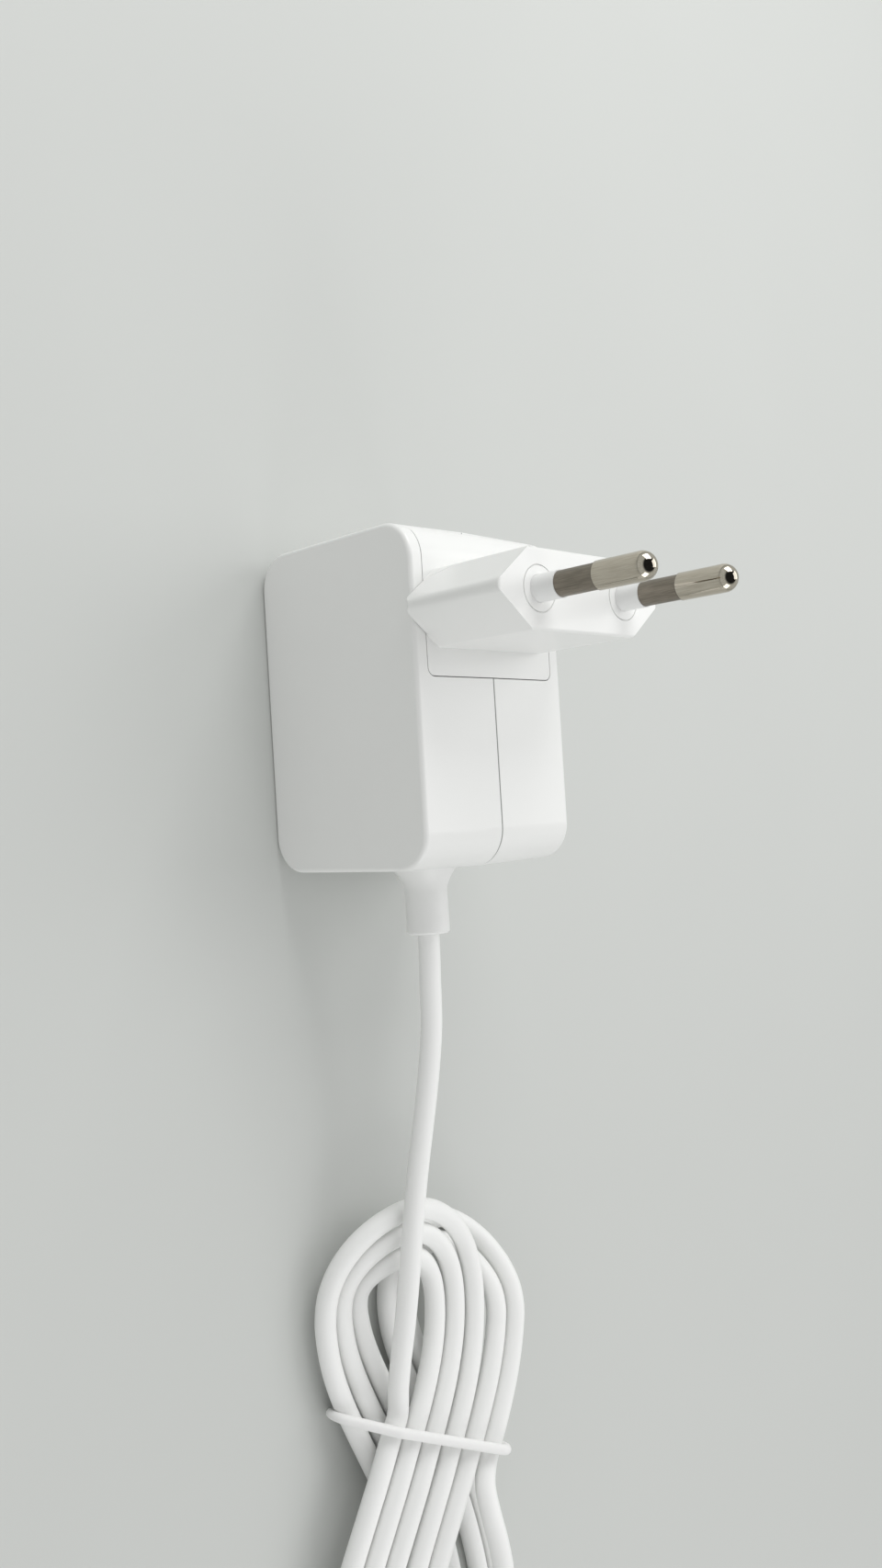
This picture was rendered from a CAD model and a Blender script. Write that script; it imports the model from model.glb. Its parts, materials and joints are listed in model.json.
# %% [markdown]
# # A wall-plug power adapter with a tied cord
# The real thing is a small white block: two moulded half shells, a plug head
# that slides into a slot in their front, two nickel-plated pins, and a thin
# cord wound in a figure of eight. Everything hard was built to size first.
# Here it is loaded as a fixed frame and given its finish, and the soft parts
# are modelled at their real length.

# %% Load the frame
import json
import math

import bpy
import numpy as np
from mathutils import Matrix, Vector


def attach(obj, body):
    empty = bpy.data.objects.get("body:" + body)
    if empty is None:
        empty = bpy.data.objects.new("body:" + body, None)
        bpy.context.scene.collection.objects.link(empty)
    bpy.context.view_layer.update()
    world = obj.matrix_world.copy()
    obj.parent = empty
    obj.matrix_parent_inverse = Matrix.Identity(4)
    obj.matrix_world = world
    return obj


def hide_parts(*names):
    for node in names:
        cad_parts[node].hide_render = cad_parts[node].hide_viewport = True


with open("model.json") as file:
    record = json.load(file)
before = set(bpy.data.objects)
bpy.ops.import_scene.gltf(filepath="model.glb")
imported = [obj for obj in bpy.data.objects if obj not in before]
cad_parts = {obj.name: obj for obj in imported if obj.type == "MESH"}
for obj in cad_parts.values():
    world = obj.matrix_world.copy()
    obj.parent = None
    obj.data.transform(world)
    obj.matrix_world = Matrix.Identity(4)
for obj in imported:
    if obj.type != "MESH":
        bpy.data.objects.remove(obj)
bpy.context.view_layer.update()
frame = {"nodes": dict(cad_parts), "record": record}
mm = 0.001

# %% [markdown]
# ## The camera
# The adapter lies on its back and the camera looks down on it from its left,
# about 45 degrees steep. A camera can be turned by three angles, but these
# are hard to read. Here it is described by where it stands, by the direction
# that is right in its picture, and by the one that it looks along. A picture
# whose long side is 36 mm goes with a lens of about 29 mm.

# %% Camera
camera_place = Vector((-143.8, -16.7, 168.2)) * mm
picture_right = Vector((0.71075, -0.06068, 0.70083)).normalized()
looking_along = Vector((0.70280, 0.01859, -0.71114)).normalized()
picture_up = picture_right.cross(looking_along).normalized()

camera_data = bpy.data.cameras.new("camera")
camera_data.lens = 29.446
camera_data.sensor_width = 36
camera_data.clip_start = 0.01
camera = bpy.data.objects.new("camera", camera_data)
bpy.context.scene.collection.objects.link(camera)
turn = Matrix((picture_right, picture_up, -looking_along)).transposed()
camera.matrix_world = Matrix.Translation(camera_place) @ turn.to_4x4()
bpy.context.scene.camera = camera
bpy.context.scene.view_settings.view_transform = "Standard"
print("camera height in mm:", round(camera_place.z / mm, 1))

# %% [markdown]
# ## Surfaces from arrays
# A tube, a turned part and a moulded shell are all a grid of points: one
# parameter runs along the piece and the other round it. Ready-made shapes
# could be joined and bent instead, but a formula says exactly what the shape
# is. Numpy works out the whole grid at once, and one call hands it to the mesh.

# %% Grid helper
def grid_faces(rows, columns, closed):
    """Quads between rings of points: each joins a point to the next one round its ring and to the same two on
    the ring below. If the path is closed, the ring below the last one is the first."""
    down = rows if closed else rows - 1
    i, j = np.meshgrid(np.arange(down), np.arange(columns), indexing="ij")
    here = i * columns + j
    right = i * columns + (j + 1) % columns
    below = ((i + 1) % rows) * columns
    return np.stack([here, right, below + (j + 1) % columns, below + j], axis=-1).reshape(-1, 4)


def mesh_from(name, points, faces, caps=()):
    """Makes an object of points in metres and quads; a cap is a list of point numbers that closes an end."""
    mesh = bpy.data.meshes.new(name)
    mesh.from_pydata(points.reshape(-1, 3).tolist(), [], faces.tolist() + [list(cap) for cap in caps])
    mesh.polygons.foreach_set("use_smooth", np.ones(len(mesh.polygons), bool))
    mesh.update()
    piece = bpy.data.objects.new(name, mesh)
    bpy.context.scene.collection.objects.link(piece)
    return piece


# %% [markdown]
# ## Sweeping a round section
# A cord is a circle carried along its path. A Blender curve with a round bevel
# could do that too. Here the mesh is worked out, so that it can also store
# where each point would lie if the cord were pulled straight, and a pattern
# that reads this runs along the jacket without a seam. At each point of the
# path the circle stands square to it; one of its axes is kept level, which
# can't twist as long as the path never points straight up.

# %% Sweep
def unit(v):
    """Each vector scaled to length 1."""
    return v / np.linalg.norm(v, axis=-1, keepdims=True)


def path_ways(path, closed=False):
    """Direction of a path at each point: from the point before to the point after."""
    if closed:
        return unit(np.roll(path, -1, axis=0) - np.roll(path, 1, axis=0))
    return unit(np.gradient(path, axis=0))


def sweep(name, path, radius, sides=16, closed=False, level=None):
    """Carries a circle along the path: point k of a ring is the centre plus the radius times the cosine of
    its angle along the ring's upward axis and times the sine of it along its level axis. The level axis lies
    square to the path and to the vertical, unless a fixed one is given."""
    ways = path_ways(path, closed)
    level = unit(np.cross(ways, [0.0, 0.0, 1.0])) if level is None else np.broadcast_to(level, ways.shape)
    upward = np.cross(level, ways)
    angle = np.linspace(0, 2 * np.pi, sides, endpoint=False)
    size = np.broadcast_to(radius, len(path))[:, None, None]
    around = np.cos(angle)[None, :, None] * upward[:, None] + np.sin(angle)[None, :, None] * level[:, None]
    points = path[:, None] + size * around
    last = (len(path) - 1) * sides
    caps = () if closed else (range(sides - 1, -1, -1), range(last, last + sides))
    piece = mesh_from(name, points, grid_faces(len(path), sides, closed)[:, ::-1], caps)
    run = np.concatenate([[0], np.cumsum(np.linalg.norm(np.diff(path, axis=0), axis=1))])
    straight = np.stack([
        size[..., 0] * np.cos(angle),
        size[..., 0] * np.sin(angle),
        np.broadcast_to(run[:, None], points.shape[:2]),
    ], axis=-1)
    skin = piece.data.attributes.new("straightened", "FLOAT_VECTOR", "POINT")
    skin.data.foreach_set("vector", straight.ravel().astype(np.float32))
    return piece


def smooth_line(points, steps):
    """Catmull-Rom line: between two points it is the cubic whose slope at each end is half the way between
    that end's two neighbours."""
    p = np.asarray(points, float)
    p = np.vstack([2 * p[0] - p[1], p, 2 * p[-1] - p[-2]])
    a, b, c, d = (p[i : len(p) - 3 + i, None] for i in range(4))
    s = np.linspace(0, 1, steps, endpoint=False)[None, :, None]
    run = 0.5 * (2 * b + (c - a) * s + (2 * a - 5 * b + 4 * c - d) * s**2 + (3 * b - a - 3 * c + d) * s**3)
    return np.vstack([run.reshape(-1, 3), p[-2]])


# %% [markdown]
# ## The cord's route
# About 1.1 m of thin, limp cord leaves the strain relief. It first runs
# straight out, sinks gently, and lies over a hank: five turns of a figure of
# eight, each turn beside the last one, held at the waist by a tie. The free
# stretches are points chosen by hand. The hank could be simulated, but one
# formula is quicker and gives the same loops each time. Its base curve is an
# eight with a short upper and a long lower loop; each turn lies one strand
# further out, and every strand that crosses the waist from lower left to
# upper right passes over those that cross the other way.

# %% Hank sizes
cord_d = 3.5 * mm
strand_gap = 0.45 * mm
strand_pitch = cord_d + strand_gap
loop_up, loop_down = 31 * mm, 50 * mm
loop_up_x, loop_down_x = 8 * mm, 12.5 * mm
hank_centre = np.array([4, -121]) * mm
hank_lean = math.radians(-3)
hank_turns = 5
# The first turns lie to the left and the last ones to the right. Starts, change and blend are in turns.
left_start, right_start = 1.1, 3.9
family_turn, family_blend = 2.98, 0.15
family_slack = 0.05 * mm
family_shift = np.array([3 * strand_pitch - family_slack, -2 * mm])
# How far a strand is raised: where it crosses over, with each further turn, and at the waist.
cross_lift = cord_d + 2 * strand_gap
climb = 0.8 * mm
waist_rise = 1.6 * mm
print("strand pitch in mm:", round(strand_pitch / mm, 2))

# %% Blending
def smooth(v):
    """0 below 0, 1 above 1, and a cubic with level ends between."""
    c = np.clip(v, 0, 1)
    return c * c * (3 - 2 * c)


def mix(a, b, k):
    """a where k is 0 and b where k is 1."""
    return a + (b - a) * k


# %% Figure of eight
waist_phase = 0.25
loop_blend = 0.75


def eight_base(t):
    """A figure of eight that starts at its waist: sideways it is the sine of twice the angle, upwards the
    cosine, with the upper loop's size blending into the lower one's."""
    u = 2 * np.pi * (t + waist_phase)
    k = smooth(0.5 - loop_blend * np.cos(u))
    across = mix(loop_up_x, loop_down_x, k) * np.sin(2 * u)
    upwards = mix(loop_up, loop_down, k) * np.cos(u)
    return np.stack([across, upwards], axis=-1)


# %% Strand of the hank
slope_step = 0.001
cross_blend = 1.4
left_early, right_late = 0.065, 0.09
waist_half, waist_fade = 4 * mm, 24 * mm
waist_slack = 0.05 * mm


def hank_point(t):
    """Centre of the cord at turn t: the base curve, moved square to itself by one strand pitch a turn, the
    last turns moved over to the right, and raised where the strand crosses over."""
    t = np.asarray(t, float)
    right = smooth((t - family_turn + family_blend) / (2 * family_blend))
    base = eight_base(t)
    way = unit(eight_base(t + slope_step) - eight_base(t - slope_step))
    side = np.stack([-way[..., 1], way[..., 0]], axis=-1)
    crossing = t + left_early * (1 - right) - right_late * right
    high = smooth(0.5 + cross_blend * np.cos(2 * np.pi * crossing))
    far = smooth((np.abs(base[..., 1]) - waist_half) / waist_fade)
    free = 1 - (1 - high) * (1 - far * (1 - right))
    spread = strand_pitch + waist_slack * (1 - free)
    out = spread * mix(t - left_start, t - right_start, right)
    flat = base + side * out[..., None] + family_shift * np.stack([right - 0.5, right], axis=-1)
    z = cord_d / 2 + waist_rise * (1 - far) + cross_lift * high + climb * free * t
    cosine, sine = math.cos(hank_lean), math.sin(hank_lean)
    x = flat[..., 0] * cosine - flat[..., 1] * sine + hank_centre[0]
    y = flat[..., 0] * sine + flat[..., 1] * cosine + hank_centre[1]
    return np.stack([x, y, z], axis=-1)


# %% Turns of the hank
hank_steps = 48
hank_loops = hank_point(np.arange(hank_turns * hank_steps + 1) / hank_steps)
hank_in = hank_loops[0] - cord_d * unit(hank_loops[1] - hank_loops[0])
hank_out = hank_loops[-1] + cord_d * unit(hank_loops[-1] - hank_loops[-2])
print("points in the hank:", len(hank_loops))

# %% The whole route
route_in = np.array([
    (0, -21, 17.75), (0, -37, 17.75), (0, -44, 17.5), (0.4, -52, 16.7),
    (0.2, -60, 15.5), (-0.5, -68, 14.3), (-1.4, -76, 13.2), (-2.3, -84, 12.4),
    (-3, -92, 11.6), (-3.5, -100, 10.4), (-3.8, -106, 9.2), (-4, -111, 8.3),
]) * mm
plug_end = np.array([9, -146, 17]) * mm
route_out = np.vstack([
    np.array([(10.2, -131.5, 12.8), (9.5, -135, 14.4), (9, -138.7, 16.2), (9, -142.5, 17)]) * mm,
    plug_end,
])
route = np.vstack([route_in, hank_in, hank_loops, hank_out, route_out])
route_steps = 4
cord_path = smooth_line(route, route_steps)

# %% Output cord
output_cord = sweep("output_cord", cord_path, cord_d / 2)
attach(output_cord, "adapter")
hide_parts("cord", "cord_hank", "cord_tail")
print("points of the cord's skin:", len(output_cord.data.vertices))

# %% [markdown]
# ## The tie
# A soft plastic-coated wire holds the hank at its waist. It could be drawn
# point by point, but then it wouldn't follow when the hank changes. So it is
# worked out as a belt round the four outermost strands, in an upright plane
# across the hank. Its plastic is thinner underneath, and swells outwards
# higher up.

# %% Plane of the tie
tie_d = 1.2 * mm
tie_centre = np.array([4.6, -122]) * mm
tie_turn = math.radians(-24.9)
tie_across = np.array([math.cos(tie_turn), math.sin(tie_turn)])
tie_clearance = 0.25 * mm
tie_reach = (cord_d + tie_d) / 2 + tie_clearance


def on_tie(p):
    """A point in the tie's plane: how far along it, and how high."""
    return np.array([(p[:2] - tie_centre) @ tie_across, p[2]])


# %% Belt
def belt(corners, reach, steps):
    """Line round a set of pulleys: an arc about each corner, from the way that the belt arrives to the way
    that it leaves. The straight runs are the gaps between the arcs."""
    corners = np.array(corners)
    before = unit(corners - np.roll(corners, 1, axis=0))
    after = unit(np.roll(corners, -1, axis=0) - corners)
    start = np.arctan2(before[:, 0], -before[:, 1])
    sine = before[:, 0] * after[:, 1] - before[:, 1] * after[:, 0]
    cosine = (before * after).sum(axis=1)
    turned = np.arctan2(sine, cosine)
    angle = start[:, None] + turned[:, None] * np.linspace(0, 1, steps + 1)
    arcs = corners[:, None] + reach * np.stack([np.cos(angle), np.sin(angle)], axis=-1)
    return arcs.reshape(-1, 2)


# %% Tie
left_turn, right_turn = 2.54, 3.48
tie_corners = [on_tie(p) for p in (hank_point(left_turn), hank_in, hank_out, hank_point(right_turn))]
coating = 0.075 * mm
swell = 0.175 * mm
swell_from, swell_over = 2 * mm, 5 * mm
belt_steps = 12
inner_loop = belt(tie_corners, tie_reach, belt_steps)
rise = smooth((inner_loop[:, 1] - swell_from) / swell_over)
tie_loop = mix(inner_loop, belt(tie_corners, tie_reach + swell, belt_steps), rise[:, None])
tie_path = np.column_stack([tie_centre + tie_loop[:, :1] * tie_across, tie_loop[:, 1]])
tie_level = np.array([-tie_across[1], tie_across[0], 0])
tie = sweep("tie", tie_path, tie_d / 2 + coating + swell * rise, closed=True, level=tie_level)
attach(tie, "adapter")
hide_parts("twist_tie")
print("tie corners in mm:", [tuple(round(float(v) / mm, 1) for v in c) for c in tie_corners])

# %% [markdown]
# ## Declaring the cord
# The cord is said to be what it is: its length, its thickness, where it leaves
# the adapter and what is on its far end. The length is measured on the path
# and not written down a second time, so the two always agree. The last call
# of this file checks it against the mesh.

# %% [markdown]
# ## Shader maths as sums
# A material that varies is a small calculation. Written as nodes one by one
# it is hard to read, so a socket is wrapped in a class whose operators add the
# Math nodes. 0.3 + 0.1 * cloud then says what it does.

# %% Socket class
class Value:
    """A shader socket that can stand in a sum. Each operator adds one Math node."""

    def __init__(self, tree, socket=None):
        self.tree, self.socket = tree, socket

    def node(self, kind, settings=None, inputs=None, out=0):
        """Adds a node. Its settings are set first, then its sockets, each to a plain value or to a link from
        another Value. Returns the output that is asked for."""
        node = self.tree.nodes.new("ShaderNode" + kind)
        for name, value in (settings or {}).items():
            setattr(node, name, value)
        for name, value in (inputs or {}).items():
            if isinstance(value, Value):
                self.tree.links.new(value.socket, node.inputs[name])
            else:
                node.inputs[name].default_value = value
        return Value(self.tree, node.outputs[out])

    def also(self, out):
        """Another output of the same node."""
        return Value(self.tree, self.socket.node.outputs[out])

    def math(self, operation, first, second=0.0):
        """One Math node on two values, of which some operations read only the first."""
        return self.node("Math", {"operation": operation}, {0: first, 1: second})

    def __add__(self, other):
        return self.math("ADD", self, other)

    def __sub__(self, other):
        return self.math("SUBTRACT", self, other)

    def __rsub__(self, other):
        return self.math("SUBTRACT", other, self)

    def __mul__(self, other):
        return self.math("MULTIPLY", self, other)

    __radd__ = __add__
    __rmul__ = __mul__

    def between(self, low, high):
        """0 below low, 1 above high and a smooth step between them."""
        return self.node("MapRange", {"interpolation_type": "SMOOTHSTEP"},
                         {"Value": self, "From Min": low, "From Max": high})

    def mixed(self, first, second):
        """First colour where this is 0, second colour where it is 1. The Mix node's sockets go by number,
        because those for numbers, vectors and colours share their names."""
        factor, a, b, colour = 0, 6, 7, 2
        return self.node("Mix", {"data_type": "RGBA"},
                         {factor: self, a: (*first, 1) if isinstance(first, tuple) else first,
                          b: (*second, 1) if isinstance(second, tuple) else second}, colour)


# %% Material helpers
def new_finish(name, constants):
    """A material whose shader holds these constant values. Returns it with a first Value to build from."""
    material = bpy.data.materials.new(name)
    material.use_nodes = True
    shader = material.node_tree.nodes["Principled BSDF"]
    for socket, value in constants.items():
        shader.inputs[socket].default_value = value
    return material, shader, Value(material.node_tree)


def feed(shader, inputs):
    """Links values that change over the surface to the shader."""
    for socket, value in inputs.items():
        value.tree.links.new(value.socket, shader.inputs[socket])


def noise(place, size, detail=2.0):
    """Soft noise between 0 and 1 whose blobs are about this large, in metres."""
    return place.node("TexNoise", inputs={"Vector": place, "Scale": 1 / size, "Detail": detail})


def bumped(height, depth):
    """A normal that follows a height map; depth is the height of its full range, in metres."""
    return height.node("Bump", inputs={"Height": height, "Distance": depth, "Strength": 1.0}, out="Normal")


def shade(colour, share):
    """The colour at this share of its brightness."""
    return tuple(share * part for part in colour)


# %% [markdown]
# ## The white shell
# Injection-moulded plastic is never one flat white. Its gloss changes a little
# where the mould was polished differently, the surface carries an almost
# invisible ripple, and handling leaves it faintly duller in clouds. Constants
# alone could do from afar. Close up these three show, but they are kept weak:
# the form and the light do the rest.

# %% Moulded plastics
plastic_ior = 1.47
coat_roughness = 0.12
cloud_shade = 0.975
gloss_drift, gloss_grain = 0.08, 0.02
grain_size = 0.5 * mm
seam_core, seam_shade = 0.6, 0.4


def moulded(name, colour, roughness, cloud_size, ripple, coat=0.0, seam=0.0):
    """Moulded plastic: colour, gloss and a slight ripple drift with a soft cloud, and a finer one varies the
    gloss. A seam of this half width darkens the plane X = 0, where two halves meet."""
    constants = {"IOR": plastic_ior, "Coat Weight": coat, "Coat Roughness": coat_roughness}
    material, shader, start = new_finish(name, constants)
    place = start.node("TexCoord", out="Object")
    cloud = noise(place, cloud_size)
    fine = noise(place, grain_size, detail=3.0)
    tint = cloud.mixed(shade(colour, cloud_shade), colour)
    if seam:
        across = place.node("SeparateXYZ", inputs={"Vector": place}, out="X")
        away = across.math("ABSOLUTE", across)
        tint = away.between(seam_core * seam, seam).mixed(shade(colour, seam_shade), tint)
    feed(shader, {
        "Base Color": tint,
        "Roughness": (roughness - gloss_drift / 2) + gloss_drift * cloud + gloss_grain * fine,
        "Normal": bumped(cloud, ripple),
    })
    return material


# %% [markdown]
# ## Nickel pins
# Each pin is one turned piece with two finishes. Its shank is dull and shows
# fine lengthwise streaks; its thicker tip is polished. Two materials could
# share the faces between them. One is simpler here, because the step between
# the finishes is at a known height, so the pin's own Z tells them apart.

# %% Pins
pin_step = 64.25 * mm
pin_blend = 0.05 * mm
groove_width = 0.16 * mm
streak_size, streak_squeeze = 0.16 * mm, 0.06
streak_low, streak_high = 0.3, 0.7
streak_depth = 0.012 * mm
tip_polish = 0.85
wear_size = 2.2 * mm


def nickel_pin(name):
    """Dull streaked shank below the step, a dark line at the step, and a bright tip above it."""
    material, shader, start = new_finish(name, {"Metallic": 1.0})
    place = start.node("TexCoord", out="Object")
    height = place.node("SeparateXYZ", inputs={"Vector": place}, out="Z")
    tip = height.between(pin_step - pin_blend, pin_step + pin_blend)
    drawn = place.node("Mapping", inputs={"Vector": place, "Scale": (1.0, 1.0, streak_squeeze)})
    streaks = noise(drawn, streak_size, detail=4.0)
    worn = noise(place, wear_size)
    streaked = streaks.between(streak_low, streak_high)
    shank = streaked.mixed((0.2, 0.178, 0.146), (0.275, 0.245, 0.203))
    bright = streaked.mixed((0.49, 0.445, 0.37), (0.58, 0.535, 0.455))
    from_step = height - pin_step
    groove = from_step.math("ABSOLUTE", from_step).between(0.0, groove_width)
    bright = groove.mixed((0.09, 0.08, 0.07), bright)
    shank_roughness = 0.33 + 0.1 * streaks
    tip_roughness = 0.05 + 0.05 * worn
    feed(shader, {
        "Base Color": tip.mixed(shank, bright),
        "Roughness": (1 - tip) * shank_roughness + tip * tip_roughness,
        "Normal": bumped((1 - tip_polish * tip) * streaks, streak_depth),
    })
    return material


def bright_nickel(name):
    """Even plating on the barrel plug."""
    plating_cloud = 1.5 * mm
    material, shader, start = new_finish(name, {"Metallic": 1.0})
    worn = noise(start.node("TexCoord", out="Object"), plating_cloud)
    feed(shader, {
        "Base Color": worn.mixed((0.64, 0.63, 0.6), (0.7, 0.69, 0.66)),
        "Roughness": 0.14 + 0.08 * worn,
    })
    return material


# %% [markdown]
# ## The cord's jacket
# The jacket is softer than the shell: satin, with faint marks where the cord
# was bent and handled. A pattern in space would run straight through the loops.
# This one reads the cord as if it were pulled straight, so it follows them.

# %% Jacket
jacket_ior = 1.45
mark_size, mark_squeeze = 3 * mm, 0.25
jacket_grain = 0.4 * mm
mark_depth = 0.03 * mm


def cord_jacket(name):
    """Satin jacket whose marks run along the cord."""
    material, shader, start = new_finish(name, {"IOR": jacket_ior})
    along = start.node("Attribute", {"attribute_name": "straightened"}, out="Vector")
    stretched = along.node("Mapping", inputs={"Vector": along, "Scale": (1.0, 1.0, mark_squeeze)})
    marks = noise(stretched, mark_size, detail=3.0)
    fine = noise(along, jacket_grain, detail=3.0)
    feed(shader, {
        "Base Color": marks.mixed((0.86, 0.865, 0.85), (0.9, 0.905, 0.892)),
        "Roughness": 0.38 + 0.1 * marks + 0.04 * fine,
        "Normal": bumped(marks + 0.25 * fine, mark_depth),
    })
    return material


# %% [markdown]
# ## Finishes of the sealed parts
# The converter is only seen when the shell is opened, but it is real: a green
# board under solder mask, copper windings, black cases and sleeved cans. Each
# wire of a winding could be modelled, but inside a closed shell a banded
# finish on one solid is enough.

# %% Windings and tape
wave_spacing = 0.314
band_wear = 1 * mm
band_depth = 0.05 * mm


def banded(name, dark, light, pitch, metallic, roughness, direction):
    """Wire or tape laid side by side: bands of this pitch, rounded by their own height map. At scale 1 the
    Wave texture's bands are 0.314 m apart, so its scale is that length over the pitch."""
    material, shader, start = new_finish(name, {"Metallic": metallic})
    place = start.node("TexCoord", out="Object")
    inputs = {"Vector": place, "Scale": wave_spacing / pitch, "Distortion": 0.0}
    bands = place.node("TexWave", {"bands_direction": direction}, inputs, out="Fac")
    feed(shader, {
        "Base Color": bands.mixed(dark, light),
        "Roughness": roughness + 0.1 * noise(place, band_wear),
        "Normal": bumped(bands, band_depth),
    })
    return material


# %% Stamped metal
rolling_size, rolling_squeeze = 0.2 * mm, 0.05
rolling_depth = 0.01 * mm
rolling_shade = 0.85


def sheet_metal(name, colour, roughness):
    """Stamped strip: fine rolling lines along Y."""
    material, shader, start = new_finish(name, {"Metallic": 1.0})
    place = start.node("TexCoord", out="Object")
    stretched = place.node("Mapping", inputs={"Vector": place, "Scale": (1.0, rolling_squeeze, 1.0)})
    rolled = noise(stretched, rolling_size, detail=3.0)
    feed(shader, {
        "Base Color": rolled.mixed(shade(colour, rolling_shade), colour),
        "Roughness": roughness + 0.12 * rolled,
        "Normal": bumped(rolled, rolling_depth),
    })
    return material


# %% Slot finishes
# Where the shell's roughness varied across about 0.27, renders showed dark specks, so it stays above that.
shell = {
    "colour": (0.862, 0.868, 0.852), "roughness": 0.34,
    "cloud_size": 16 * mm, "ripple": 0.012 * mm, "coat": 0.25,
}
# Moulded finishes give their colour, roughness, size of the clouds and depth of the ripple, in that order.
makers = {
    "shell_white": lambda name: moulded(name, **shell),
    "foot_white": lambda name: moulded(name, (0.84, 0.845, 0.83), 0.45, 8 * mm, 0.01 * mm),
    "sleeve_white": lambda name: moulded(name, (0.83, 0.835, 0.825), 0.42, 3 * mm, 0.01 * mm),
    "pin_nickel": nickel_pin,
    "contact_bronze": lambda name: sheet_metal(name, (0.72, 0.56, 0.34), 0.28),
    "spring_steel": lambda name: sheet_metal(name, (0.6, 0.6, 0.6), 0.3),
    "board_green": lambda name: moulded(name, (0.03, 0.2, 0.08), 0.35, 2 * mm, 0.02 * mm),
    "sheet_ivory": lambda name: moulded(name, (0.78, 0.76, 0.68), 0.4, 9 * mm, 0.02 * mm),
    "case_black": lambda name: moulded(name, (0.03, 0.03, 0.032), 0.5, 1.5 * mm, 0.015 * mm),
    "case_white": lambda name: moulded(name, (0.78, 0.78, 0.76), 0.45, 2 * mm, 0.012 * mm),
    "disc_blue": lambda name: moulded(name, (0.04, 0.17, 0.42), 0.3, 2 * mm, 0.05 * mm, coat=0.3),
    "ferrite_grey": lambda name: moulded(name, (0.09, 0.09, 0.095), 0.6, 1 * mm, 0.03 * mm),
    "wire_copper": lambda name: banded(name, (0.3, 0.12, 0.05), (0.7, 0.34, 0.16), 0.5 * mm, 1.0, 0.28, "Y"),
    "can_navy": lambda name: moulded(name, (0.02, 0.03, 0.1), 0.3, 4 * mm, 0.03 * mm, coat=0.4),
    "bobbin_tan": lambda name: moulded(name, (0.46, 0.34, 0.19), 0.5, 2 * mm, 0.015 * mm),
    "tape_yellow": lambda name: banded(name, (0.6, 0.44, 0.05), (0.8, 0.62, 0.12), 3 * mm, 0.0, 0.35, "Z"),
    "lead_grey": lambda name: moulded(name, (0.24, 0.24, 0.25), 0.45, 1 * mm, 0.01 * mm),
    "cord_white": lambda name: moulded(name, (0.85, 0.855, 0.842), 0.4, 5 * mm, 0.015 * mm),
    "tie_white": lambda name: moulded(name, (0.86, 0.86, 0.85), 0.5, 1.2 * mm, 0.03 * mm),
}
finishes = {slot: make(slot) for slot, make in makers.items()}
print("finishes made:", len(finishes))

# %% [markdown]
# ## Dressing the built pieces
# The built pieces arrive as loose triangles, and each would shade as a flat
# facet. Welding joins them and moves no point by more than a thousandth of a
# millimetre. Smooth shading would then blur every edge, so the mesh is split
# at edges sharper than 30 degrees, which keeps moulded edges crisp. Weighting
# each normal by the area of its faces keeps a large flat face flat right up
# to its rounded edge.

# %% Finish of each node
slots = {row["node"]: row["material_slot"] for row in frame["record"]["subparts"]}
seam_half_width = 0.12 * mm
barrel_finish = bright_nickel("barrel_nickel")
seamed_shell = moulded("seamed_shell", **shell, seam=seam_half_width)
own_finish = {
    "connector_barrel": barrel_finish,
    "connector_contact": barrel_finish,
    "housing_left": seamed_shell,
    "housing_right": seamed_shell,
}
print("nodes with a finish of their own:", len(own_finish))

# %% Dress the nodes
weld_distance = 0.001 * mm
crease = math.radians(30)
for node, piece in frame["nodes"].items():
    piece.data.materials.clear()
    piece.data.materials.append(own_finish.get(node, finishes[slots[node]]))
    piece.data.polygons.foreach_set("use_smooth", np.ones(len(piece.data.polygons), bool))
    weld = piece.modifiers.new("weld", "WELD")
    weld.merge_threshold = weld_distance
    split = piece.modifiers.new("crisp edges", "EDGE_SPLIT")
    split.split_angle = crease
    flat = piece.modifiers.new("flat faces stay flat", "WEIGHTED_NORMAL")
    flat.mode = "FACE_AREA"
print("nodes dressed:", len(frame["nodes"]))

# %% Dress the cord and the tie
output_cord.data.materials.append(cord_jacket("cord_jacket"))
tie.data.materials.append(finishes["tie_white"])
print("pieces dressed:", output_cord.name, tie.name)

# %% [markdown]
# ## Floor, light and background
# The object lies on a plain pale floor. One broad lamp stands to its right and
# one beyond its upper end, so the left side falls into a soft half shade. A
# lower one beyond the cord keeps the near ends from going grey, and the sky
# fills the shadows. Brighter light from all sides would show it too, but white
# plastic needs some shade to keep its form. Rays that come straight from the
# camera, bounce off gloss or pass through glass see a plain pale background
# in place of the sky, with a dark ceiling high above it, which gives polished
# metal something to mirror.

# %% Floor
floor_size = 20.0
floor_drop = 0.05 * mm
floor_cloud = 60 * mm
corners = np.array([[-1, -1], [1, -1], [1, 1], [-1, 1]]) * floor_size / 2
floor_points = np.column_stack([corners, np.full(4, -floor_drop)])
floor = mesh_from("floor", floor_points, np.array([[0, 1, 2, 3]]))

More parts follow.
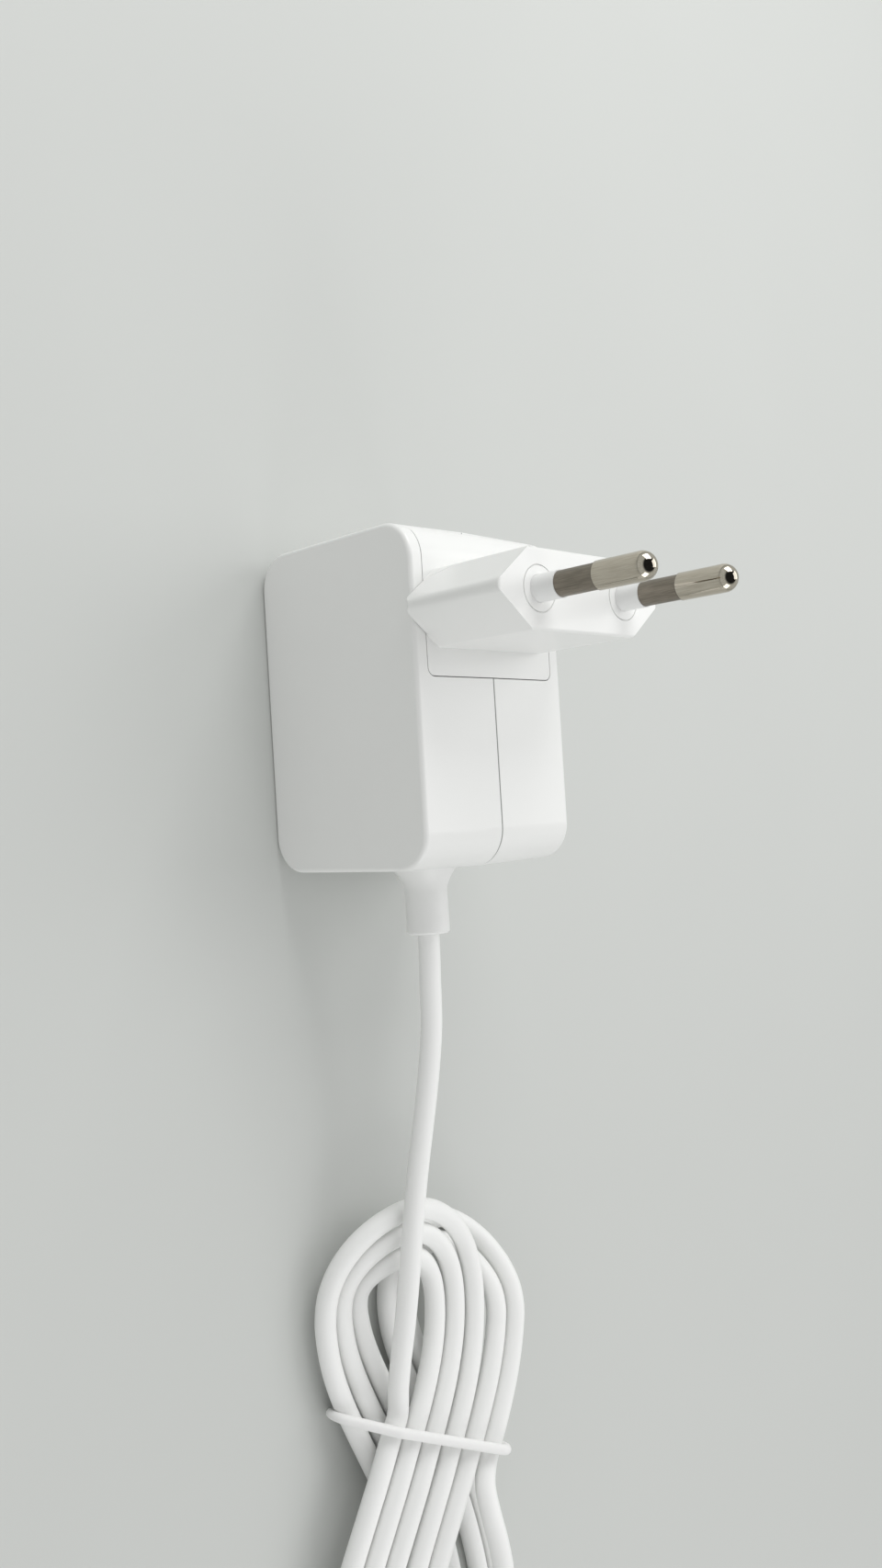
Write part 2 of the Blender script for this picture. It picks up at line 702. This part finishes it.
material, shader, start = new_finish("floor_grey", {"Specular IOR Level": 0.25})
cloud = noise(start.node("TexCoord", out="Object"), floor_cloud)
feed(shader, {
    "Base Color": cloud.mixed((0.575, 0.59, 0.57), (0.59, 0.605, 0.585)),
    "Roughness": 0.55 + 0.05 * cloud,
})
floor.data.materials.append(material)
print("floor side in m:", floor_size)

# %% Lamps
lamp_aim = Vector((0.0, -0.04, 0.02))


def soft_lamp(name, place, size, power):
    """A square lamp of this size in metres and power in watts. It points at the object, and the camera
    doesn't see it."""
    data = bpy.data.lights.new(name, "AREA")
    data.size = size
    data.energy = power
    lamp = bpy.data.objects.new(name, data)
    lamp.visible_camera = False
    lamp.location = place
    lamp.rotation_euler = (lamp_aim - Vector(place)).to_track_quat("-Z", "Y").to_euler()
    bpy.context.scene.collection.objects.link(lamp)
    print(name, "power in W:", power)


soft_lamp("right_lamp", (0.36, 0.1, 0.44), size=0.35, power=0.65)
soft_lamp("upper_lamp", (0.04, 0.44, 0.33), size=0.35, power=1.35)
soft_lamp("lower_lamp", (0.0, -0.62, 0.24), size=0.4, power=1.0)

# %% Sky
sky_level = 0.62
backdrop_level = 0.62
backdrop_tone = (0.97, 1.0, 0.98)
ceiling_tone = (0.03, 0.03, 0.03)
ceiling_from, ceiling_to = 0.52, 0.75
world = bpy.data.worlds.new("studio")
world.use_nodes = True
bpy.context.scene.world = world
world.node_tree.nodes.clear()
start = Value(world.node_tree)
rays = start.node("LightPath", out="Is Camera Ray")
seen = rays.math("MAXIMUM", rays, rays.also("Is Glossy Ray"))
seen = seen.math("MAXIMUM", seen, rays.also("Is Transmission Ray"))
direction = start.node("TexCoord", out="Generated")
upwards = direction.node("SeparateXYZ", inputs={"Vector": direction}, out="Z")
sky = start.node("Background", inputs={"Color": (1, 1, 1, 1), "Strength": sky_level})
backdrop_colour = upwards.between(ceiling_from, ceiling_to).mixed(backdrop_tone, ceiling_tone)
backdrop = start.node("Background", inputs={"Color": backdrop_colour, "Strength": backdrop_level})
both = start.node("MixShader", inputs={0: seen, 1: sky, 2: backdrop})
output = world.node_tree.nodes.new("ShaderNodeOutputWorld")
world.node_tree.links.new(both.socket, output.inputs["Surface"])
print("sky level:", sky_level, "backdrop level:", backdrop_level)
